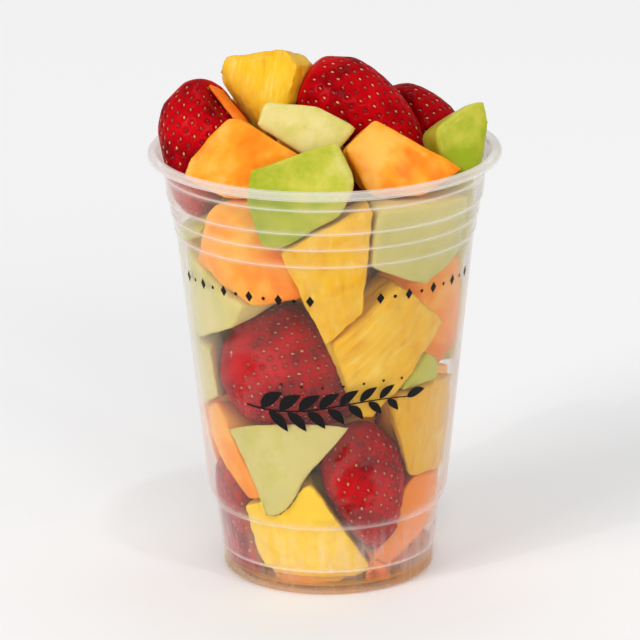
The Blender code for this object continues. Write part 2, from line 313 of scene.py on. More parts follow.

# How green a honeydew block is on the whole, from its pale middle (0) to just under the rind (1); honeydew_left and
# honeydew_side are set paler as painted light, for the light falling on them from the left
greenness = {
    "honeydew_front": 0.72,
    "honeydew_top": 0.3,
    "honeydew_peak": 0.85,
    "honeydew_low": 0.16,
    "honeydew_right": 0.1,
    "honeydew_left": 0.15,
    "honeydew_side": 0.05,
    "honeydew_small": 0.75,
    "honeydew_edge": 0.5,
}

# How much darker than the others a piece is painted: painted shade, towards its deep colour, for pieces that lie in
# shade or on the side away from the light
paintedShadeShare = {
    "strawberry_behind": 0.3,
    "honeydew_right": 0.1,
    "pineapple_right": 0.12,
    "cantaloupe_right": 0.1,
    "cantaloupe_base": 0.15,
    "strawberry_inner": 0.3,
    "cantaloupe_slice": 0.55,
}

# Corners that lean over or round a neighbour: (place, reach and shift in mm), and who gives way to whom
leaning = {
    "honeydew_low": (((-16.2, -29.2, 27), 12.5, (0.8, 0, -6.6)),),
    "cantaloupe_low": (((19, -24, 9), 15, (-7, -4, -3)), ((20, -25, 27), 13, (-6, -3.5, 0))),
    "cantaloupe_base": (((12, -26, 6), 11, (-1, -4, -1)), ((14, -25, 10), 9, (3, -3, 0))),
}
givesWay = {
    "pineapple_low": ("honeydew_low",),
    "cantaloupe_base": ("pineapple_low", "strawberry_low"),
    "cantaloupe_low": ("strawberry_low", "cantaloupe_base", "pineapple_right"),
}

# Scoops that the knife left along the eyes of a pineapple, as (place in mm, radius in mm)
eyeScoops = {
    "pineapple_front": (((12.4, -39.8, 92), 2.6), ((9.4, -39.4, 82.2), 2.3), ((6.2, -39.4, 77.4), 2.0)),
    "pineapple_low": (
        ((-24.8, -23.8, 23.9), 2.4),
        ((-21.3, -23.6, 11.3), 2.7),
        ((-16.5, -25.0, 5.6), 2.4),
        ((0.4, -30.3, 5.2), 2.3),
        ((17.3, -24.6, 5.2), 2.2),
        ((-7.5, -29.5, 3.4), 1.8),
    ),
    "pineapple_middle": (((22, -33, 86), 2.4), ((30.5, -27.5, 82), 2.2), ((34.2, -20.6, 76.5), 1.9)),
    "pineapple_right": (((32, -17.5, 57), 2.4), ((27.5, -21.5, 37), 2.2)),
}


def wayOf(nodeName):
    # the block's own grain, or one that its name picks
    if nodeName in grainAndLightWays:
        return Vector(grainAndLightWays[nodeName]).normalized()
    pick = random.Random(nodeName)
    return Vector((pick.uniform(-1, 1), pick.uniform(-1, 1), pick.uniform(-0.3, 1))).normalized()


def scoop(piece, places):
    for spot, radius in places:
        bpy.ops.mesh.primitive_ico_sphere_add(subdivisions=3, radius=radius * mm, location=Vector(spot) * mm)
        spoon = bpy.context.object
        spoon.scale = (1, 0.8, 1.25)
        finishWith(piece, "BOOLEAN", operation="DIFFERENCE", object=spoon, solver="EXACT")
        bpy.data.objects.remove(spoon)


def leanOver(piece, spot, reach, shift):
    points = pointsOf(piece)
    near = np.linalg.norm(points - np.array(spot) * mm, axis=1) / (reach * mm)
    weight = np.clip(1 - near**2, 0, 1) ** 1.5
    setPoints(piece, points + weight[:, None] * np.array(shift) * mm)


def keepInside(piece):
    # holds a piece just clear of the cup's wall
    points = pointsOf(piece)
    radii = np.hypot(points[:, 0], points[:, 1])
    room = innerRadius(points[:, 2] / mm) * mm - 0.22 * mm
    inCup = points[:, 2] < 118 * mm
    shrink = np.where(inCup, np.minimum(1, room / np.maximum(radii, 1e-6)), 1)
    points[:, :2] *= shrink[:, None]
    points[:, 2] = np.maximum(points[:, 2], 2.3 * mm)
    setPoints(piece, points)


def settle(piece):
    # lets what lies on the floor spread down over its rounded lower edge
    points = pointsOf(piece)
    if points[:, 2].min() > 4.5 * mm:
        return
    rise = np.clip((points[:, 2] - 2.35 * mm) / (3.4 * mm), 0, 1)
    points[:, 2] -= (rise - rise**1.9) * 3.4 * mm
    setPoints(piece, points)


def dent(piece, name, look, guide=None, group="", middle=0.62, detail=1):
    # pushes the surface in and out by a cloudy procedural texture
    depth, size = look
    pattern = bpy.data.textures.new(name, "CLOUDS")
    pattern.noise_scale, pattern.noise_depth = 1 if guide else size, detail
    settings = {"texture": pattern, "strength": depth, "mid_level": middle, "vertex_group": group}
    settings["texture_coords"] = "OBJECT" if guide else "LOCAL"
    if guide:
        settings["texture_coords_object"] = guide
    finishWith(piece, "DISPLACE", **settings)


def edgeCloseness(piece, faces, reach):
    # 1 on a knife edge, falling off over a few millimetres
    points = pointsOf(piece)
    gaps = np.stack([np.abs((middle - points) @ normal) for middle, normal in faces])
    second = np.partition(gaps, 1, axis=0)[1]
    return np.exp(-second / reach)


def addGroup(piece, name, weights):
    made = piece.vertex_groups.new(name=name)
    for number in np.nonzero(weights > 0.02)[0]:
        made.add([int(number)], float(weights[number]), "REPLACE")


def grainPlaces(piece, way, middle):
    # each point's place in the block's own axes, the third along the grain
    side = way.orthogonal().normalized()
    axes = np.array([side, way.cross(side), way])
    return (pointsOf(piece) - np.array(middle)) @ axes.T


def fibreGuide(way, across):
    # an empty that squeezes a texture across the fibres and draws it out along them
    made = bpy.data.objects.new("fibres", None)
    bpy.context.scene.collection.objects.link(made)
    made.rotation_euler = way.to_track_quat("Z", "Y").to_euler()
    made.scale = (across, across, 10 * mm)
    bpy.context.view_layer.update()
    return made


def makeCutFruit(nodeName, kind, material):
    values = cutFruit[kind]
    piece = copyOfNode(nodeName)
    faces = [(np.array(f.center), np.array(f.normal)) for f in piece.data.polygons if f.area > 2 * mm * mm]
    middle = pointsOf(piece).mean(axis=0)
    way = wayOf(nodeName)
    scoop(piece, eyeScoops.get(nodeName, ()))
    finishWith(piece, "REMESH", mode="VOXEL", voxel_size=values["voxel"])
    for corner in leaning.get(nodeName, ()):
        leanOver(piece, *corner)
    for other in givesWay.get(nodeName, ()):
        finishWith(piece, "BOOLEAN", operation="DIFFERENCE", object=fruit[other], solver="EXACT")
    addGroup(piece, "edges", edgeCloseness(piece, faces, 1.1 * mm))
    dent(piece, "nicks", values["nicks"], group="edges", middle=0.85)
    finishWith(piece, "SMOOTH", factor=0.5, iterations=values["smooth"])
    dent(piece, "broadDents", values["broad"], detail=1)
    if kind == "pineapple":
        guide = fibreGuide(way, values["fine"][1])
        dent(piece, "fibreRidges", values["fine"], guide, detail=2)
        bpy.data.objects.remove(guide)
    else:
        dent(piece, "fineDents", values["fine"], detail=2)
    settle(piece)
    keepInside(piece)
    places = grainPlaces(piece, way, middle)
    addAttribute(piece, "grain", places, "FLOAT_VECTOR")
    addAttribute(piece, "edge", edgeCloseness(piece, faces, (2 if kind == "pineapple" else 3) * mm))
    spread = max(np.ptp(places[:, 2]), 1 * mm)
    # 0 to 1 along the block's way: nearness to the rind in a honeydew, and in a listed cantaloupe the painted light,
    # high on its lit side
    rind = (places[:, 2] - places[:, 2].min()) / spread
    if kind == "honeydew":
        rind = greenness.get(nodeName, 0.5) + 0.45 * (rind - 0.5)
    addAttribute(piece, "rind", np.clip(rind, 0, 1))
    # painted shade: how much darker the piece is painted for lying in shade
    addAttribute(piece, "dull", np.full(len(places), paintedShadeShare.get(nodeName, 0)))
    smoothShade(piece)
    handOver(piece, material, kind, nodeName)
    return piece


def fleshShader(tree, colour, height, values):
    # wet flesh: light goes a little way in, and a film of juice lies on top
    bump = addNode(tree, "ShaderNodeBump", {"Strength": values["bump"], "Distance": values["bumpDepth"]}, {"Height": height})
    # painted shade: the colour is multiplied towards the deep colour by the piece's share of painted shade
    dull = addNode(tree, "ShaderNodeAttribute", {"attribute_name": "dull"}).outputs["Fac"]
    colour = addNode(tree, "ShaderNodeMix", {"data_type": "RGBA", 7: values["deep"], "blend_type": "MULTIPLY"}, {0: dull, 6: colour}).outputs[2]
    surface = addNode(
        tree,
        "ShaderNodeBsdfPrincipled",
        {
            "Roughness": values["roughness"],
            "IOR": 1.36,
            "Specular IOR Level": values["sheen"],
            "Subsurface Weight": values["depthShare"],
            "Subsurface Radius": values["depthColour"],
            "Subsurface Scale": values["depth"],
            "Coat Weight": values["juice"],
            "Coat Roughness": values["juiceRoughness"],
            "Coat IOR": 1.34,
        },
        {"Base Color": colour, "Normal": bump.outputs["Normal"]},
    )
    addNode(tree, "ShaderNodeOutputMaterial", None, {"Surface": surface.outputs["BSDF"]})


def newMaterial(name):
    made = bpy.data.materials.new(name)
    made.use_nodes = True
    made.node_tree.nodes.clear()
    return made, made.node_tree


pineappleLook = {
    "ripe": "#F1C41F",
    "pale": "#F8DC6E",
    "deep": "#D88E08",
    "roughness": 0.4,
    "sheen": 0.08,
    "juice": 0.25,
    "juiceRoughness": 0.1,
    "depthShare": 0.35,
    "depthColour": (1.0, 0.7, 0.1),
    "depth": 2.5 * mm,
    "bump": 0.6,
    "bumpDepth": 0.35 * mm,
}


def pineappleFlesh():
    # Fresh pineapple, knife cut. Juicy fibres run one way as paler streaks, and a deeper amber is painted along thin
    # edges for the light that passes through thin flesh.
    made, tree = newMaterial("pineappleFlesh")
    look = pineappleLook
    grain = addNode(tree, "ShaderNodeAttribute", {"attribute_name": "grain"}).outputs["Vector"]
    edge = addNode(tree, "ShaderNodeAttribute", {"attribute_name": "edge"}).outputs["Fac"]
    along = addNode(tree, "ShaderNodeMapping", {"Scale": (1, 1, 0.09)}, {"Vector": grain}).outputs["Vector"]
    # fibres about 1.3 mm apart
    fibres = addNode(tree, "ShaderNodeTexNoise", {"Scale": 1 / (1.9 * mm), "Detail": 5, "Roughness": 0.62}, {"Vector": along}).outputs["Fac"]
    # juicier and drier patches about 7 mm across
    patches = addNode(tree, "ShaderNodeTexNoise", {"Scale": 1 / (7 * mm), "Detail": 3, "Distortion": 0.8}, {"Vector": grain}).outputs["Fac"]
    streaks = addNode(
        tree,
        "ShaderNodeValToRGB",
        {"stops": [(0.32, look["deep"]), (0.44, look["ripe"]), (0.54, look["ripe"]), (0.66, look["pale"])]},
        {"Fac": fibres},
    ).outputs["Color"]
    cloudy = addNode(
        tree,
        "ShaderNodeValToRGB",
        {"stops": [(0.35, look["ripe"]), (0.65, look["pale"])]},
        {"Fac": patches},
    ).outputs["Color"]
    flesh = addNode(tree, "ShaderNodeMix", {"data_type": "RGBA", 0: 0.35}, {6: streaks, 7: cloudy}).outputs[2]
    # painted light: a deeper amber along thin edges, for light passing through thin flesh
    paintedThinEdge = addNode(tree, "ShaderNodeMath", {"operation": "MULTIPLY", 1: 0.7}, {0: edge}).outputs[0]
    colour = addNode(tree, "ShaderNodeMix", {"data_type": "RGBA", 7: look["deep"]}, {0: paintedThinEdge, 6: flesh}).outputs[2]
    fleshShader(tree, colour, fibres, look)
    return made


cantaloupeLook = {
    "ripe": "#FFA72A",
    "pale": "#FFBD50",
    "deep": "#EE7C12",
    "roughness": 0.38,
    "sheen": 0.08,
    "juice": 0.25,
    "juiceRoughness": 0.14,
    "depthShare": 0.5,
    "depthColour": (1.0, 0.5, 0.08),
    "depth": 3.5 * mm,
    "bump": 0.3,
    "bumpDepth": 0.2 * mm,
}


def cantaloupeFlesh():
    # Ripe cantaloupe, knife cut. Smooth and wet, with faint watery veins, a deeper orange painted along thin edges for
    # the light that passes through thin flesh, and painted light and shade: paler towards the block's lit side, deeper
    # orange on its shaded side.
    made, tree = newMaterial("cantaloupeFlesh")
    look = cantaloupeLook
    grain = addNode(tree, "ShaderNodeAttribute", {"attribute_name": "grain"}).outputs["Vector"]
    edge = addNode(tree, "ShaderNodeAttribute", {"attribute_name": "edge"}).outputs["Fac"]
    rind = addNode(tree, "ShaderNodeAttribute", {"attribute_name": "rind"}).outputs["Fac"]
    along = addNode(tree, "ShaderNodeMapping", {"Scale": (1, 1, 0.45)}, {"Vector": grain}).outputs["Vector"]
    # cloudy patches about 9 mm across, and watery veins about 3 mm apart
    clouds = addNode(tree, "ShaderNodeTexNoise", {"Scale": 1 / (9 * mm), "Detail": 3}, {"Vector": grain}).outputs["Fac"]
    veins = addNode(tree, "ShaderNodeTexNoise", {"Scale": 1 / (3 * mm), "Detail": 4, "Distortion": 0.5}, {"Vector": along}).outputs["Fac"]
    # cells, 0.8 mm, drawn coarser than they are so that they show
    cells = addNode(tree, "ShaderNodeTexNoise", {"Scale": 1 / (0.9 * mm), "Detail": 2}, {"Vector": grain}).outputs["Fac"]
    veined = addNode(tree, "ShaderNodeMath", {"operation": "MULTIPLY_ADD", 1: 0.35}, {0: veins, 2: clouds}).outputs[0]
    # painted light and shade: paler towards the block's lit side, deeper orange on its shaded side
    shade = addNode(tree, "ShaderNodeMath", {"operation": "MULTIPLY_ADD", 1: 0.35}, {0: rind, 2: veined}).outputs[0]
    flesh = addNode(
        tree,
        "ShaderNodeValToRGB",
        {"stops": [(0.6, look["deep"]), (0.86, look["ripe"]), (1.0, look["pale"])]},
        {"Fac": shade},
    ).outputs["Color"]
    # painted light: a deeper orange along thin edges, for light passing through thin flesh
    paintedThinEdge = addNode(tree, "ShaderNodeMath", {"operation": "MULTIPLY", 1: 0.45}, {0: edge}).outputs[0]
    colour = addNode(tree, "ShaderNodeMix", {"data_type": "RGBA", 7: look["deep"]}, {0: paintedThinEdge, 6: flesh}).outputs[2]
    fleshShader(tree, colour, cells, look)
    return made


honeydewLook = {
    "pale": "#E6D794",
    "green": "#C6C24A",
    "deep": "#98AC1E",
    # the darker olive painted along thin edges, for light passing through thin flesh
    "edge": "#A0982E",
    "roughness": 0.34,
    "sheen": 0.08,
    "juice": 0.3,
    "juiceRoughness": 0.1,
    "depthShare": 0.55,
    "depthColour": (0.9, 1.0, 0.25),
    "depth": 4 * mm,
    "bump": 0.3,
    "bumpDepth": 0.18 * mm,
}


def honeydewFlesh():
    # Honeydew, knife cut. Pale and watery in the middle of the melon, and greener the nearer to the rind, with a darker
    # olive painted along thin edges for the light that passes through thin flesh.
    made, tree = newMaterial("honeydewFlesh")
    look = honeydewLook
    grain = addNode(tree, "ShaderNodeAttribute", {"attribute_name": "grain"}).outputs["Vector"]
    edge = addNode(tree, "ShaderNodeAttribute", {"attribute_name": "edge"}).outputs["Fac"]
    rind = addNode(tree, "ShaderNodeAttribute", {"attribute_name": "rind"}).outputs["Fac"]
    # cloudy patches about 5 mm across
    clouds = addNode(tree, "ShaderNodeTexNoise", {"Scale": 1 / (5 * mm), "Detail": 5, "Roughness": 0.6}, {"Vector": grain}).outputs["Fac"]
    cells = addNode(tree, "ShaderNodeTexNoise", {"Scale": 1 / (0.9 * mm), "Detail": 2}, {"Vector": grain}).outputs["Fac"]
    centred = addNode(tree, "ShaderNodeMath", {"operation": "MULTIPLY_ADD", 1: 1.0, 2: -0.5}, {0: clouds}).outputs[0]
    shade = addNode(tree, "ShaderNodeMath", {"operation": "ADD"}, {0: rind, 1: centred}).outputs[0]
    flesh = addNode(
        tree,
        "ShaderNodeValToRGB",
        {"stops": [(0.15, look["pale"]), (0.6, look["green"]), (0.95, look["deep"])]},
        {"Fac": shade},
    ).outputs["Color"]
    # painted light: a darker olive along thin edges, for light passing through thin flesh
    paintedThinEdge = addNode(tree, "ShaderNodeMath", {"operation": "MULTIPLY", 1: 0.45}, {0: edge}).outputs[0]
    colour = addNode(tree, "ShaderNodeMix", {"data_type": "RGBA", 7: look["edge"]}, {0: paintedThinEdge, 6: flesh}).outputs[2]
    fleshShader(tree, colour, cells, look)
    return made


# strawberries

berryShape = {
    "voxel": 0.46 * mm,
    "smooth": 76,
    "swell": 0.46 * mm,  # gives back what the smoothing takes
    "seedSpacing": 3.15 * mm,
    "pitRadius": 1.0 * mm,
    "pitDepth": 0.5 * mm,
    "dome": 2.0 * mm,  # how far the stalk end swells over the solid's flat one
    "lumps": (0.5 * mm, 9 * mm),
    "ripple": (0.16 * mm, 2.6 * mm),
}

# Each strawberry: a point on its axis, the way the tip points, and how far its pale hulled end reaches, in mm
berryAxes = {
    "strawberry_big": ((-13, -14.5, 62.5), (22, 8, -10), 0),
    "strawberry_low": ((9.4, -19.5, 34), (6, -2, -30), 0),
    "strawberry_left": ((-33, -1, 127), (-4, -14, -32), 0),
    "strawberry_top": ((5.5, 3, 133.5), (34, -4, -21), 0),
    "strawberry_behind": ((23, 15, 124), (12, 2, -6), 0),
    "strawberry_corner": ((-19, -8, 12), (-6, -1, 28), 0),
    "strawberry_inner": ((1, -12, 108), (-7, -6, -22), 0),
}

strawberryLook = {
    "skin": "#B0020D",
    "deep": "#74010A",
    "bright": "#C40813",
    # the colour of the painted shade in the pits
    "pit": "#5A0107",
    "shoulder": "#E0705C",
    "core": "#F0BDA6",
    "seedPale": "#DDB066",
    "seedMiddle": "#AD6E38",
    "seedDark": "#5E1C10",
    "roughness": 0.34,
    "sheen": 0.015,
    "juice": 0.12,
    "juiceRoughness": 0.05,
    "depthShare": 0.1,
    "depthColour": (1.0, 0.1, 0.05),
    "depth": 1.5 * mm,
    "bump": 0.2,
    "bumpDepth": 0.12 * mm,
}


def strawberrySkin():
    # Ripe strawberry skin. Deep red and glossy, with painted shade round the pits, paler towards the stalk, pink flesh
    # where hulled.
    made, tree = newMaterial("strawberrySkin")
    look = strawberryLook
    grain = addNode(tree, "ShaderNodeAttribute", {"attribute_name": "grain"}).outputs["Vector"]
    pit = addNode(tree, "ShaderNodeAttribute", {"attribute_name": "pit"}).outputs["Fac"]
    hull = addNode(tree, "ShaderNodeAttribute", {"attribute_name": "hull"}).outputs["Fac"]
    patches = addNode(tree, "ShaderNodeTexNoise", {"Scale": 1 / (8 * mm), "Detail": 4}, {"Vector": grain}).outputs["Fac"]
    skin = addNode(
        tree,
        "ShaderNodeValToRGB",
        {"stops": [(0.32, look["deep"]), (0.5, look["skin"]), (0.7, look["bright"])]},
        {"Fac": patches},
    ).outputs["Color"]
    # painted shade in the pits round the seeds
    pitShade = addNode(tree, "ShaderNodeMath", {"operation": "MULTIPLY", 1: 0.55}, {0: pit}).outputs[0]
    pitted = addNode(tree, "ShaderNodeMix", {"data_type": "RGBA", 7: look["pit"]}, {0: pitShade, 6: skin}).outputs[2]
    paler = addNode(tree, "ShaderNodeValToRGB", {"stops": [(0.05, 0), (0.6, 0.8)]}, {"Fac": hull}).outputs["Color"]
    shoulder = addNode(tree, "ShaderNodeMix", {"data_type": "RGBA", 7: look["shoulder"]}, {0: paler, 6: pitted}).outputs[2]
    cut = addNode(tree, "ShaderNodeValToRGB", {"stops": [(0.6, 0), (0.8, 0.85)]}, {"Fac": hull}).outputs["Color"]
    colour = addNode(tree, "ShaderNodeMix", {"data_type": "RGBA", 7: look["core"]}, {0: cut, 6: shoulder}).outputs[2]
    # the skin's cells, 0.5 mm
    cells = addNode(tree, "ShaderNodeTexNoise", {"Scale": 1 / (0.8 * mm), "Detail": 2}, {"Vector": grain}).outputs["Fac"]
    fleshShader(tree, colour, cells, look)
    return made


def strawberrySeed():
    # Strawberry seeds. Dry and hard, from straw coloured to dark brown, varying in patches about 3 mm across.
    made, tree = newMaterial("strawberrySeed")
    look = strawberryLook
    place = addNode(tree, "ShaderNodeTexCoord").outputs["Object"]
    each = addNode(tree, "ShaderNodeTexNoise", {"Scale": 1 / (3 * mm), "Detail": 1}, {"Vector": place}).outputs["Fac"]
    colour = addNode(
        tree,
        "ShaderNodeValToRGB",
        {"stops": [(0.38, look["seedDark"]), (0.5, look["seedMiddle"]), (0.66, look["seedPale"])]},
        {"Fac": each},
    ).outputs["Color"]
    surface = addNode(
        tree,
        "ShaderNodeBsdfPrincipled",
        {"Roughness": 0.35, "IOR": 1.5, "Coat Weight": 0.4, "Coat Roughness": 0.1},
        {"Base Color": colour},
    )
    addNode(tree, "ShaderNodeOutputMaterial", None, {"Surface": surface.outputs["BSDF"]})
    return made


def oneSeed():
    # a flattened drop, pointed end up, 1.1 mm long
    bpy.ops.mesh.primitive_uv_sphere_add(segments=6, ring_count=4, radius=1)
    seed = bpy.context.object
    seed.name = "seed"
    bpy.ops.object.mode_set(mode="EDIT")
    bpy.ops.mesh.select_all(action="SELECT")
    bpy.ops.transform.resize(value=(0.31 * mm, 0.24 * mm, 0.52 * mm))
    bpy.ops.object.mode_set(mode="OBJECT")
    points = pointsOf(seed)
    taper = 1 - 0.4 * np.clip(points[:, 2] / (0.52 * mm), 0, 1)
    points[:, 0] *= taper
    points[:, 1] *= taper
    setPoints(seed, points)
    return seed


def seedSpots(piece, middle, way, count):
    # points all over the berry in a spiral from stalk to tip, as (place, normal, way to the tip)
    tree = BVHTree.FromObject(piece, bpy.context.evaluated_depsgraph_get())
    points = pointsOf(piece)
    heights = (points - np.array(middle)) @ np.array(way)
    low, high = heights.min(), heights.max()
    side = way.orthogonal().normalized()
    other = way.cross(side)
    # how much skin lies below each height, so that the spiral is even
    areas = np.array([f.area for f in piece.data.polygons])
    levels = np.array([(f.center - middle).dot(way) for f in piece.data.polygons])
    order = np.argsort(levels)
    covered = np.cumsum(areas[order]) / areas.sum()
    found = []
    for number in range(count):
        height = np.interp((number + 0.5) / count, covered, levels[order])
        turn = number * math.pi * (3 - math.sqrt(5))
        outward = side * math.cos(turn) + other * math.sin(turn)
        start = middle + way * height
        spot, normal, _, _ = tree.ray_cast(start + outward * 60 * mm, -outward)
        if spot is None or height < low + 1.6 * mm or height > high - 0.8 * mm:
            continue
        if normal.dot(-way) > 0.93:
            continue
        found.append((spot, normal, (way - normal * way.dot(normal)).normalized()))
    return found


def swellStalkEnd(piece, middle, way):
    points = pointsOf(piece)
    reach = points - np.array(middle)
    along = reach @ np.array(way)
    rise = along - along.min()
    fromAxis = np.linalg.norm(reach - along[:, None] * np.array(way), axis=1)
    rim = max(fromAxis[rise < 1 * mm].max(), 1 * mm)
    swell = np.clip(1 - (fromAxis / rim) ** 2, 0, 1) * np.clip(1 - rise / (3 * mm), 0, 1)
    setPoints(piece, points - (swell * berryShape["dome"])[:, None] * np.array(way))


def makeStrawberry(nodeName, skin, seedSkin, seed):
    shape = berryShape
    piece = copyOfNode(nodeName)
    solidPoints = pointsOf(piece)
    hullReach = 4
    if nodeName in berryAxes:
        onAxis, tip, hullReach = berryAxes[nodeName]
        middle, way = Vector(onAxis) * mm, Vector(tip).normalized()
    else:
        middle = Vector(solidPoints.mean(axis=0))
        reach = solidPoints - np.array(middle)
        way = Vector(reach[np.argmax((reach**2).sum(axis=1))]).normalized()
    finishWith(piece, "REMESH", mode="VOXEL", voxel_size=shape["voxel"])
    finishWith(piece, "SMOOTH", factor=0.5, iterations=shape["smooth"])
    swellStalkEnd(piece, middle, way)
    dent(piece, "berryLumps", shape["lumps"], detail=0)
    dent(piece, "berryRipple", shape["ripple"], detail=1)
    finishWith(piece, "DISPLACE", strength=shape["swell"], mid_level=0)
    settle(piece)
    keepInside(piece)
    area = sum(f.area for f in piece.data.polygons)
    spots = seedSpots(piece, middle, way, int(area / (0.87 * shape["seedSpacing"] ** 2)))
    # a pit round each seed
    spread = KDTree(len(spots))
    for number, (spot, _, _) in enumerate(spots):
        spread.insert(spot, number)
    spread.balance()
    points = pointsOf(piece)
    near = np.array([spread.find(Vector(p))[2] for p in points])
    pit = np.clip(1 - (near / shape["pitRadius"]) ** 2, 0, 1) ** 1.5
    addGroup(piece, "pits", pit)
    finishWith(piece, "DISPLACE", strength=-shape["pitDepth"], mid_level=0, vertex_group="pits")
    # painted shade: how strongly the skin is darkened round each seed's pit
    addAttribute(piece, "pit", np.exp(-((near / (0.75 * shape["pitRadius"])) ** 2)))
    places = grainPlaces(piece, way, middle)
    addAttribute(piece, "grain", places, "FLOAT_VECTOR")
    # painted shade: how much darker the berry is painted for lying in shade
    addAttribute(piece, "dull", np.full(len(places), paintedShadeShare.get(nodeName, 0)))
    fromStalk = places[:, 2] - places[:, 2].min()
    addAttribute(piece, "hull", np.clip(1 - fromStalk / (max(hullReach, 0.01) * mm), 0, 1))
    smoothShade(piece)
    handOver(piece, skin, "strawberry", nodeName)
    # the seeds, each its own copy, joined for one berry
    copies = []
    pick = random.Random(nodeName)
    for spot, normal, along in spots:
        one = seed.copy()
        one.data = seed.data.copy()
        bpy.context.scene.collection.objects.link(one)
        across = along.cross(normal)
        turned = Matrix((across, normal, along)).transposed().to_4x4()
        wobble = Matrix.Rotation(pick.uniform(-0.3, 0.3), 4, "Y") @ Matrix.Scale(pick.uniform(0.85, 1.1), 4)
        one.matrix_world = Matrix.Translation(spot - normal * 0.36 * mm) @ turned @ wobble
        copies.append(one)
    pickOnly(*copies)
    bpy.ops.object.join()
    bpy.ops.object.transform_apply(location=True, rotation=True, scale=True)
    seeds = bpy.context.object
    seeds.name = nodeName + "_seeds"
    smoothShade(seeds)
    handOver(seeds, seedSkin, "strawberry")
    return piece


fruit = {}
skin, seedSkin, seed = strawberrySkin(), strawberrySeed(), oneSeed()
for nodeName in sorted(frame["nodes"]):
    if nodeName.startswith("strawberry"):
        fruit[nodeName] = makeStrawberry(nodeName, skin, seedSkin, seed)
bpy.data.objects.remove(seed)
print("strawberries made:", len(fruit))

# the cut fruit, those last that give way to others
fleshes = {"pineapple": pineappleFlesh(), "cantaloupe": cantaloupeFlesh(), "honeydew": honeydewFlesh()}
cutNames = [name for name in sorted(frame["nodes"]) if name.split("_")[0] in cutFruit and name not in givesWay]
for nodeName in cutNames + list(givesWay):
    kind = nodeName.split("_")[0]
    fruit[nodeName] = makeCutFruit(nodeName, kind, fleshes[kind])
print("cut fruit made:", len(cutNames) + len(givesWay))


# the cup: one turned wall with a foot, ribs and a rolled lip

# Where fruit is pressed wet against the wall and shows through it clearly: azimuth, height, half width, half height
wetPatches = (
    (-38, 72, 9, 9),
    (-44, 63, 6, 7),
    (13, 33, 6.5, 8),
    (11, 42, 5, 4),
    (-62, 14, 2.2, 10),
    (-20, 17, 11, 9),
    (5, 98, 8, 10),
    (150, 60, 9, 8),
    (215, 30, 8, 9),
    (190, 85, 10, 7),
)


def lipArc(inset):
    middle = cupShape["lipRadius"] - cupShape["lipHalfWidth"], cupShape["height"] - cupShape["lipHalfHeight"]
    wide, tall = cupShape["lipHalfWidth"] - inset, cupShape["lipHalfHeight"] - inset
    turns = [math.radians(180 - 300 * step / 26) for step in range(27)]
    return [(middle[0] + wide * math.cos(turn), middle[1] + tall * math.sin(turn)) for turn in turns]


def eased(line, rounding):
    # cuts each corner of the line with a short curve, and splits the long runs
    line = [Vector(point) for point in line]
    made = [line[0]]
    for before, corner, after in zip(line, line[1:], line[2:]):
        room = min(rounding, (corner - before).length * 0.4, (after - corner).length * 0.4)
        start = corner + (before - corner).normalized() * room
        end = corner + (after - corner).normalized() * room
        for part in (0, 0.25, 0.5, 0.75, 1):
            made.append(start * (1 - part) ** 2 + corner * 2 * part * (1 - part) + end * part**2)
    made.append(line[-1])
    full = [made[0]]
    for point in made[1:]:
        steps = max(1, math.ceil((point - full[-1]).length / 1.6))
        start = full[-1]
        full += [start.lerp(point, (step + 1) / steps) for step in range(steps)]
    return [tuple(point) for point in full]


def cupLine():
    outside = outerLine()
    wall = cupShape["wall"]
    inside = [(radius - wall, height) for radius, height in outside]
    corner = 29.5 - wall
    floor = [(0, 2.2), (corner - 1.2, 2.2), (corner, 3.4)]
    foot = [(29.5, 1.2), (28.3, 0), (27.2, 0), (25.7, 1.5), (0, 1.5)]
    inner = eased(floor + inside, cupShape["rounding"])
    outer = eased(outside[::-1] + foot, cupShape["rounding"])
    return inner + lipArc(0) + lipArc(wall)[::-1] + outer


def spinUp(name, line, steps):
    # draws the half section as a wire and spins it round the cup's axis
    bpy.ops.mesh.primitive_plane_add(size=1 * mm)
    made = bpy.context.object
    made.name = name
    bpy.ops.object.mode_set(mode="EDIT")
    bpy.ops.mesh.select_all(action="SELECT")
    bpy.ops.mesh.merge(type="CENTER")
    here = Vector((0, 0, 0))
    for number, (radius, height) in enumerate(line):
        there = Vector((radius * mm, 0, height * mm))
        if number == 0:
            bpy.ops.transform.translate(value=there - here)
        else:
            bpy.ops.mesh.extrude_region_move(TRANSFORM_OT_translate={"value": there - here})
        here = there
    bpy.ops.mesh.select_all(action="SELECT")
    bpy.ops.mesh.spin(steps=steps, angle=2 * math.pi, center=(0, 0, 0), axis=(0, 0, 1))
    bpy.ops.mesh.select_all(action="SELECT")
    bpy.ops.mesh.remove_doubles(threshold=0.004 * mm)
    bpy.ops.mesh.normals_make_consistent(inside=False)
    bpy.ops.object.mode_set(mode="OBJECT")
    return made


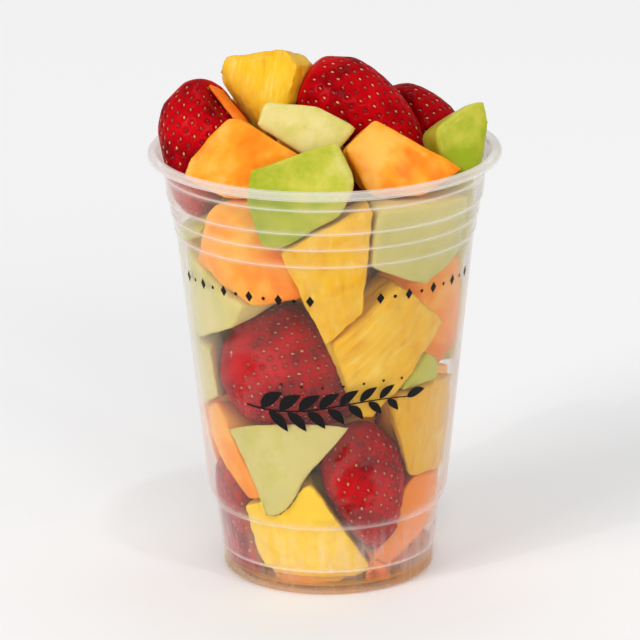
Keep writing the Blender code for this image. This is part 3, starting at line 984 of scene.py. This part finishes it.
def clearPlastic():
    # Thermoformed PET, 0.45 mm. Clear with a slight white haze that thickens at a glancing angle, and white haze
    # painted along the ribs, bead and lip as painted highlights.
    made, tree = newMaterial("clearPlastic")
    line = addNode(tree, "ShaderNodeAttribute", {"attribute_name": "line"}).outputs["Fac"]
    wet = addNode(tree, "ShaderNodeAttribute", {"attribute_name": "wet"}).outputs["Fac"]
    place = addNode(tree, "ShaderNodeTexCoord").outputs["Object"]
    glance = addNode(tree, "ShaderNodeLayerWeight", {"Blend": 0.5}).outputs["Facing"]
    # flow marks in the moulded wall, about 14 mm apart, drawn up the wall
    tall = addNode(tree, "ShaderNodeMapping", {"Scale": (1, 1, 0.35)}, {"Vector": place}).outputs["Vector"]
    flow = addNode(tree, "ShaderNodeTexNoise", {"Scale": 1 / (14 * mm), "Detail": 3}, {"Vector": tall}).outputs["Fac"]
    patchy = addNode(tree, "ShaderNodeMapRange", {"From Min": 0.3, "From Max": 0.7, "To Min": 0.02, "To Max": 0.037}, {"Value": flow}).outputs[0]
    dry = addNode(tree, "ShaderNodeMath", {"operation": "MULTIPLY_ADD", 1: -0.95, 2: 1}, {0: wet}).outputs[0]
    base = addNode(tree, "ShaderNodeMath", {"operation": "MULTIPLY"}, {0: patchy, 1: dry}).outputs[0]
    steep = addNode(tree, "ShaderNodeMath", {"operation": "POWER", 1: 2.9}, {0: glance}).outputs[0]
    sided = addNode(tree, "ShaderNodeMath", {"operation": "MULTIPLY_ADD", 1: 0.5}, {0: steep, 2: base}).outputs[0]
    # drawn marks up the foot band, 2 mm apart, where the blank was stretched least; their brighter white haze is also a
    # painted reflection, for the crumpled glints of the foot
    band = addNode(tree, "ShaderNodeAttribute", {"attribute_name": "footBand"}).outputs["Fac"]
    drawn = addNode(tree, "ShaderNodeMapping", {"Scale": (1, 1, 0.12)}, {"Vector": place}).outputs["Vector"]
    marksAndGlints = addNode(tree, "ShaderNodeTexNoise", {"Scale": 1 / (2.2 * mm), "Detail": 3, "Distortion": 0.6}, {"Vector": drawn}).outputs["Fac"]
    bright = addNode(tree, "ShaderNodeMapRange", {"From Min": 0.46, "From Max": 0.72, "To Min": 0.035, "To Max": 0.2}, {"Value": marksAndGlints}).outputs[0]
    banded = addNode(tree, "ShaderNodeMath", {"operation": "MULTIPLY_ADD"}, {0: bright, 1: band, 2: sided}).outputs[0]
    # the line attribute adds white haze as painted highlights on ribs, bead and lip
    haze = addNode(tree, "ShaderNodeMath", {"operation": "MULTIPLY_ADD", 1: 0.42, "use_clamp": True}, {0: line, 2: banded}).outputs[0]
    clear = addNode(tree, "ShaderNodeBsdfTransparent", {"Color": "#FDFDFD"}).outputs[0]
    # the juice behind lends the foot its colour: a painted peach tint on the haze, for light coloured by the juice
    juicy = addNode(tree, "ShaderNodeAttribute", {"attribute_name": "juicy"}).outputs["Fac"]
    paintedJuiceLight = addNode(tree, "ShaderNodeMix", {"data_type": "RGBA", 6: "#FFFDFB", 7: "#F8D2A0"}, {0: juicy}).outputs[2]
    white = addNode(tree, "ShaderNodeBsdfDiffuse", None, {"Color": paintedJuiceLight}).outputs[0]
    through = addNode(tree, "ShaderNodeBsdfTranslucent", None, {"Color": paintedJuiceLight}).outputs[0]
    milk = addNode(tree, "ShaderNodeMixShader", {0: 0.55}, {1: white, 2: through}).outputs[0]
    body = addNode(tree, "ShaderNodeMixShader", None, {0: haze, 1: clear, 2: milk}).outputs[0]
    edgeOn = addNode(tree, "ShaderNodeMath", {"operation": "POWER", 1: 5}, {0: glance}).outputs[0]
    shine = addNode(tree, "ShaderNodeMath", {"operation": "MULTIPLY_ADD", 1: 0.6, 2: 0.003}, {0: edgeOn}).outputs[0]
    # the flat wall is a little uneven, so only ribs and lip give sharp glints
    crisp = addNode(tree, "ShaderNodeMapRange", {"From Max": 0.4, "To Min": 0.3, "To Max": 0.1}, {"Value": line}).outputs[0]
    gloss = addNode(tree, "ShaderNodeBsdfGlossy", {"Color": "#FFFFFF"}, {"Roughness": crisp}).outputs[0]
    whole = addNode(tree, "ShaderNodeMixShader", None, {0: shine, 1: body, 2: gloss}).outputs[0]
    addNode(tree, "ShaderNodeOutputMaterial", None, {"Surface": whole})
    return made


def makeCup():
    cup = spinUp("cup_wall", cupLine(), cupShape["around"])
    points = pointsOf(cup)
    heights = points[:, 2] / mm
    radii = np.hypot(points[:, 0], points[:, 1]) / mm
    # painted highlights, drawn as white haze: the ribs' edges, the shoulder, the foot's bead and the lip, whose rolled
    # plastic is also milkier
    line = np.zeros(len(points))
    for rib, _ in cupShape["ribs"]:
        line += np.exp(-(((heights - rib - cupShape["ribRise"]) / 0.32) ** 2))
    for height, strength in ((20.4, 0.7), (7.3, 1), (1.2, 0.25)):
        line += strength * np.exp(-(((heights - height) / 0.34) ** 2))
    line += np.where(heights > 118.4, 0.45, 0) + np.where((heights > 97) & (heights < 118), 0.03, 0)
    addAttribute(cup, "footBand", np.clip((21 - heights) / 6, 0, 1))
    # wet patches, ragged at their edges, only where fruit is close to the wall
    trees = [BVHTree.FromObject(piece, bpy.context.evaluated_depsgraph_get()) for piece in fruit.values()]
    wet = np.zeros(len(points))
    turns = np.degrees(np.arctan2(points[:, 0], -points[:, 1]))
    for azimuth, height, wide, tall in wetPatches:
        across = (turns - azimuth + 180) % 360 - 180
        distance = np.hypot(np.radians(across) * radii / wide, (heights - height) / tall)
        ragged = 0.22 * np.sin(heights * 1.1 + azimuth) * np.sin(np.radians(turns) * radii * 0.9) + 0.12 * np.sin(heights * 2.3)
        wet = np.maximum(wet, np.clip((1.05 + ragged - distance) * 4, 0, 1))
    for number in np.nonzero(wet > 0)[0]:
        spot = Vector(points[number])
        gap = min(tree.find_nearest(spot, 6 * mm)[3] or 6 * mm for tree in trees)
        wet[number] *= min(1, max(0, 7 - 1.5 * gap / mm))
    addAttribute(cup, "wet", wet)
    # a wet patch is rimmed by a fine line of juice; where nothing backs the foot, and along its lowest two millimetres,
    # white haze is painted for the light and reflections the foot passes on from the floor
    gaps = np.array([min(tree.find_nearest(Vector(p), 9 * mm)[3] or 9 * mm for tree in trees) if p[2] < 24 * mm else 0 for p in points])
    paintedFootLight = 0.65 * np.clip((gaps / mm - 1.2) / 4, 0, 1) * np.clip((24 - heights) / 4, 0, 1)
    addAttribute(cup, "line", np.clip(line + 0.2 * wet * (1 - wet) + paintedFootLight + 0.22 * np.clip((2.4 - heights) / 1.2, 0, 1), 0, 1))
    addAttribute(cup, "juicy", np.clip((6.5 - heights) / 3, 0, 1))
    smoothShade(cup)
    handOver(cup, clearPlastic(), "cup", "cup")
    return cup


cup = makeCup()
print("cup made")


# a plain leaf print on the wall, and the juice in the foot

printShape = {
    "proud": 0.03 * mm,  # ink over the wall
    "sprigHeight": 57.5,  # of the sprig's stem
    "sprigLength": 47,
    "leafLength": 8.2,
    "leafWidth": 3.1,
    "rowHeight": 88.8,
    "rowStep": 4.4,
    "rows": ((-37.5, 11), (46.5, 9)),  # azimuth of the middle and number of marks
    "faces": (0, 180),  # azimuths where the whole print stands
}


def screenInk():
    # Black screen-print ink, cured. Opaque and a little glossy, thinner where the mesh left pinholes, 0.4 mm apart.
    made, tree = newMaterial("screenInk")
    place = addNode(tree, "ShaderNodeTexCoord").outputs["Object"]
    mesh = addNode(tree, "ShaderNodeTexNoise", {"Scale": 1 / (0.4 * mm), "Detail": 2}, {"Vector": place}).outputs["Fac"]
    colour = addNode(tree, "ShaderNodeValToRGB", {"stops": [(0.3, "#141011"), (0.6, "#080606")]}, {"Fac": mesh}).outputs["Color"]
    bump = addNode(tree, "ShaderNodeBump", {"Strength": 0.2, "Distance": 0.03 * mm}, {"Height": mesh})
    surface = addNode(tree, "ShaderNodeBsdfPrincipled", {"Roughness": 0.45, "IOR": 1.5, "Specular IOR Level": 0.15}, {"Base Color": colour, "Normal": bump.outputs["Normal"]})
    addNode(tree, "ShaderNodeOutputMaterial", None, {"Surface": surface.outputs["BSDF"]})
    return made


def flatGrid(across, up, columns, rows):
    # a flat patch in x and y, in millimetres until it is wrapped
    bpy.ops.mesh.primitive_grid_add(x_subdivisions=columns, y_subdivisions=rows, size=1)
    made = bpy.context.object
    setPoints(made, pointsOf(made) * (across, up, 1))
    return made


def oneLeaf():
    # a pointed leaf that lies to the right of its stalk, with a bare slit for its rib
    leaf = flatGrid(printShape["leafLength"], 2, 12, 4)
    points = pointsOf(leaf)
    along = points[:, 0] / printShape["leafLength"] + 0.5
    width = printShape["leafWidth"] / 2 * np.sin(math.pi * along**0.8) ** 0.9
    points[:, 1] = np.sign(points[:, 1]) * (0.12 * np.sin(math.pi * along) + np.abs(points[:, 1]) * width) + 0.5 * np.sin(math.pi * along)
    points[:, 0] += printShape["leafLength"] / 2
    setPoints(leaf, points)
    return leaf


def turnedTo(piece, at, degrees, size=1.0):
    # a copy of a flat shape, turned and put in its place
    made = piece.copy()
    made.data = piece.data.copy()
    bpy.context.scene.collection.objects.link(made)
    turn = np.array(Matrix.Rotation(math.radians(degrees), 3, "Z"))
    setPoints(made, pointsOf(made) * size @ turn.T + np.array((*at, 0)))
    return made


def stemRise(x):
    # the stem's gentle wave
    return 1.5 * np.sin(x / printShape["sprigLength"] * math.pi * 1.6)


def makePrint(ink):
    shape = printShape
    half = shape["sprigLength"] / 2
    stem = flatGrid(shape["sprigLength"], 0.55, 60, 1)
    points = pointsOf(stem)
    points[:, 1] = points[:, 1] * (1.1 - 0.5 * (points[:, 0] / half + 1) / 2) + stemRise(points[:, 0])
    setPoints(stem, points)
    leaf = oneLeaf()
    dot = flatGrid(1.05, 1.05, 3, 3)
    points = pointsOf(dot)
    reach = np.maximum(np.abs(points[:, 0]), np.abs(points[:, 1]))
    setPoints(dot, points * (reach / np.maximum(np.linalg.norm(points, axis=1), 1e-9))[:, None])  # a square grid drawn in to a disc
    diamond = flatGrid(2.0, 2.0, 3, 3)
    setPoints(diamond, pointsOf(diamond) @ np.array(Matrix.Rotation(math.radians(45), 3, "Z")).T * (0.8, 1.15, 1))
    sprig = [stem]
    for number in range(7):
        x = -half + 4.5 + number * 5.6
        size = 1.05 - 0.06 * number
        sprig.append(turnedTo(leaf, (x, stemRise(x) + 0.3), 38, size))
        sprig.append(turnedTo(leaf, (x + 2.4, stemRise(x + 2.4) - 0.3), -46, size * 0.92))
        sprig.append(turnedTo(dot, (x + 6.6, stemRise(x) + 7.6 * size), 0, 0.75))
    sprig.append(turnedTo(leaf, (half - 0.3, stemRise(half)), 8, 0.8))
    row = []
    for middle, count in shape["rows"]:
        for number in range(count):
            step = math.degrees(shape["rowStep"] / (outerRadius(shape["rowHeight"])))
            mark = turnedTo(diamond if number % 2 == 0 else dot, (0, 0), 0)
            row.append((mark, middle + (number - (count - 1) / 2) * step))
    wrapped = []
    for face in shape["faces"]:
        for mark in sprig:
            wrapped.append(wrapOnWall(turnedTo(mark, (0, 0), 0), face, shape["sprigHeight"]))
        for mark, azimuth in row:
            wrapped.append(wrapOnWall(turnedTo(mark, (0, 0), 0), face + azimuth, shape["rowHeight"]))
    for used in [leaf, dot, diamond] + sprig + [mark for mark, _ in row]:
        if used.name in bpy.data.objects:
            bpy.data.objects.remove(used)
    pickOnly(*wrapped)
    bpy.ops.object.join()
    made = bpy.context.object
    made.name = "cup_print"
    finishWith(made, "SOLIDIFY", thickness=shape["proud"] * 0.8, offset=-1)
    handOver(made, ink, "cup")
    return made


def wrapOnWall(piece, azimuth, height):
    # bends a flat mark round the cup: its x goes round the wall and its y goes up it
    points = pointsOf(piece)
    heights = height + points[:, 1]
    radii = outerRadius(heights)
    turns = math.radians(azimuth) + points[:, 0] / outerRadius(height)
    out = radii * mm + printShape["proud"]
    setPoints(piece, np.stack([out * np.sin(turns), -out * np.cos(turns), heights * mm], axis=1))
    return piece


makePrint(screenInk())
print("print made")


juiceShape = {"top": 4.7, "creep": 0.9, "gap": 0.06, "around": 96}


def fruitJuice():
    # Melon and strawberry juice, a few millimetres deep. Thin, clear and amber pink, with a wet gloss on top.
    made, tree = newMaterial("fruitJuice")
    place = addNode(tree, "ShaderNodeTexCoord").outputs["Object"]
    swirl = addNode(tree, "ShaderNodeTexNoise", {"Scale": 1 / (9 * mm), "Detail": 3}, {"Vector": place}).outputs["Fac"]
    tint = addNode(tree, "ShaderNodeValToRGB", {"stops": [(0.35, "#FCDCC2"), (0.62, "#FDE8BE")]}, {"Fac": swirl}).outputs["Color"]
    pulpy = addNode(tree, "ShaderNodeValToRGB", {"stops": [(0.35, "#F3BC8C"), (0.62, "#F6CA66")]}, {"Fac": swirl}).outputs["Color"]
    clear = addNode(tree, "ShaderNodeBsdfTransparent", None, {"Color": tint}).outputs[0]
    lit = addNode(tree, "ShaderNodeBsdfDiffuse", None, {"Color": pulpy}).outputs[0]
    glowing = addNode(tree, "ShaderNodeBsdfTranslucent", None, {"Color": pulpy}).outputs[0]
    cloud = addNode(tree, "ShaderNodeMixShader", {0: 0.5}, {1: lit, 2: glowing}).outputs[0]
    # pulp settles on the floor, so the lowest millimetre is cloudy
    high = addNode(tree, "ShaderNodeSeparateXYZ", None, {"Vector": place}).outputs["Z"]
    settled = addNode(tree, "ShaderNodeMapRange", {"From Min": 2.4 * mm, "From Max": 4.6 * mm, "To Min": 0.92, "To Max": 0.16}, {"Value": high}).outputs[0]
    body = addNode(tree, "ShaderNodeMixShader", None, {0: settled, 1: clear, 2: cloud}).outputs[0]
    gloss = addNode(tree, "ShaderNodeBsdfGlossy", {"Color": "#FFFFFF", "Roughness": 0.03}).outputs[0]
    glance = addNode(tree, "ShaderNodeFresnel", {"IOR": 1.33}).outputs[0]
    whole = addNode(tree, "ShaderNodeMixShader", None, {0: glance, 1: body, 2: gloss}).outputs[0]
    addNode(tree, "ShaderNodeOutputMaterial", None, {"Surface": whole})
    return made


def makeJuice(material):
    shape = juiceShape
    top, creep, gap = shape["top"], shape["creep"], shape["gap"]
    corner = 29.5 - cupShape["wall"]
    reach = corner - gap
    line = [(0, 2.2 + gap), (corner - 1.25, 2.2 + gap), (reach, 3.45), (reach, top + creep), (reach - 0.25, top + creep * 0.6), (reach - 0.9, top + creep * 0.2)]
    line += [(reach - 2.2, top), (0, top)]
    juice = spinUp("cup_juice", eased(line, 0.3), shape["around"])
    smoothShade(juice)
    handOver(juice, material, "cup")
    return juice


makeJuice(fruitJuice())
print("juice poured")


# the floor

floorLook = {"colour": "#F7F7F8", "size": 12}


def studioPaper():
    # Seamless background paper: matt, pale and even, with a faint tooth that only breaks up the shade.
    made, tree = newMaterial("studioPaper")
    place = addNode(tree, "ShaderNodeTexCoord").outputs["Object"]
    tooth = addNode(tree, "ShaderNodeTexNoise", {"Scale": 1 / (0.6 * mm), "Detail": 2}, {"Vector": place}).outputs["Fac"]
    bump = addNode(tree, "ShaderNodeBump", {"Strength": 0.05, "Distance": 0.05 * mm}, {"Height": tooth})
    surface = addNode(
        tree,
        "ShaderNodeBsdfPrincipled",
        {"Base Color": floorLook["colour"], "Roughness": 0.9, "Specular IOR Level": 0.1},
        {"Normal": bump.outputs["Normal"]},
    )
    addNode(tree, "ShaderNodeOutputMaterial", None, {"Surface": surface.outputs["BSDF"]})
    return made


bpy.ops.mesh.primitive_plane_add(size=floorLook["size"])
floor = bpy.context.object
floor.name = "floor"
floor.data.materials.append(studioPaper())
print("floor laid")
